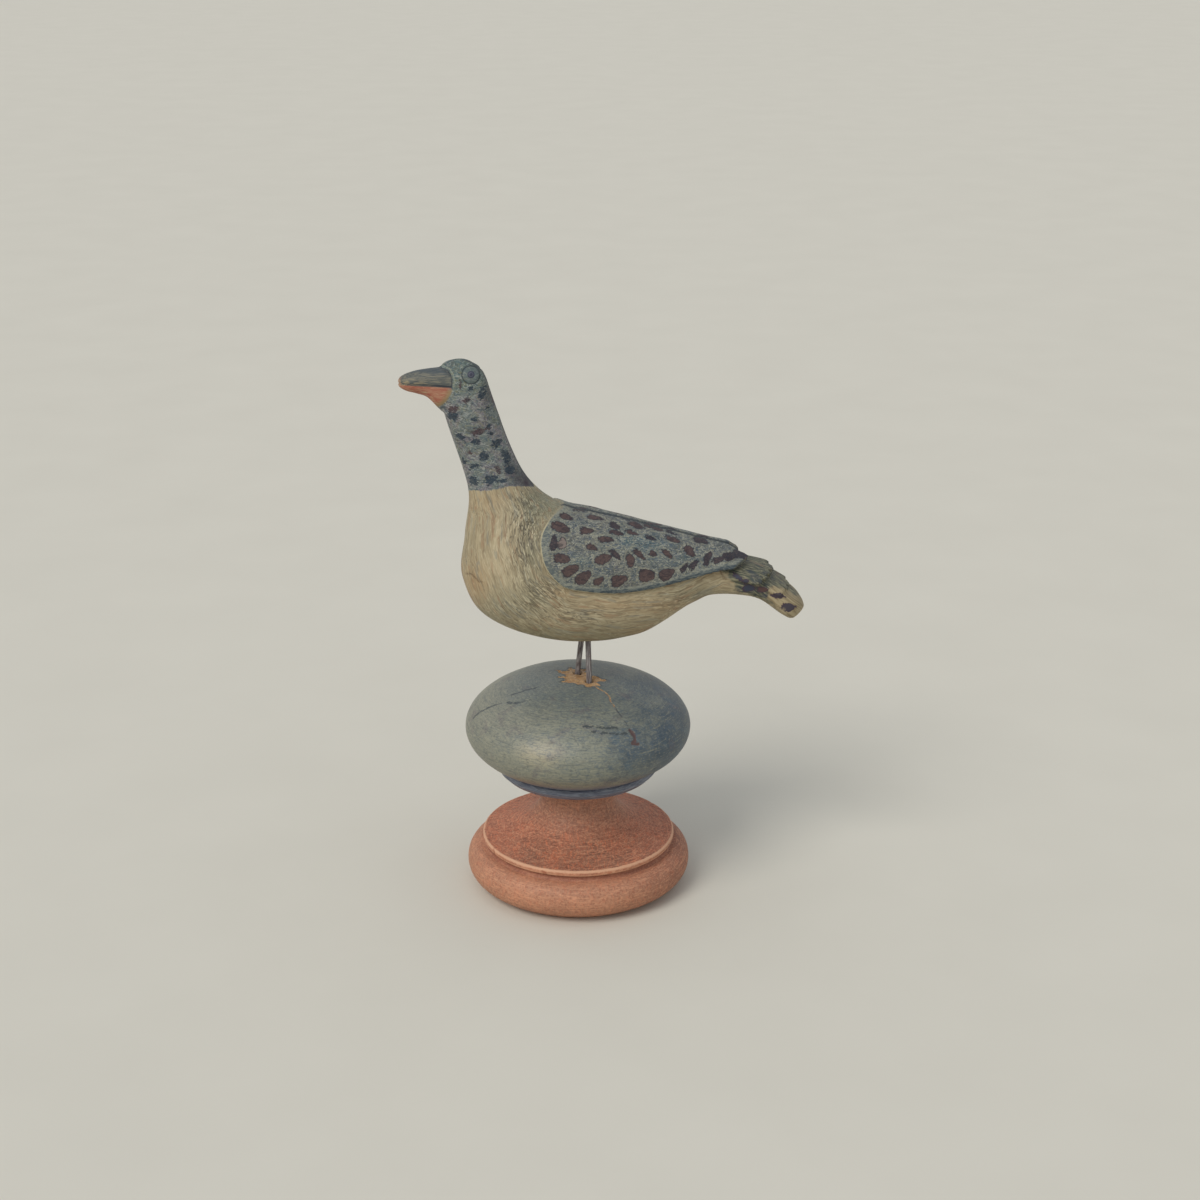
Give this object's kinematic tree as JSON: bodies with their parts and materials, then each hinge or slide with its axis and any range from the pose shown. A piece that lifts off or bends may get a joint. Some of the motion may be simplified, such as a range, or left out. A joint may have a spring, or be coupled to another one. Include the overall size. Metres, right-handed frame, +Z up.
{
  "type": "bird carving",
  "caption": "Carved and painted wooden shorebird with folded wings, on thin wire legs over a turned ball and a turned base.",
  "frame": {"origin": "middle of the stand's flat underside", "axes": "+Z up, -X the way the beak points, -Y the bird's left side"},
  "size_m": [0.1595, 0.092, 0.221],
  "materials": {
    "bird_paint": "worn matt paint over carved wood",
    "leg_wire": "dark painted iron wire",
    "ball_paint": "worn satin paint over turned wood",
    "base_paint": "worn matt paint over turned wood"
  },
  "bodies": {
    "root": {"bird": "bird_paint", "leg_left": "leg_wire", "leg_right": "leg_wire", "stand_ball": "ball_paint", "stand_base": "base_paint"}
  },
  "joints": []
}
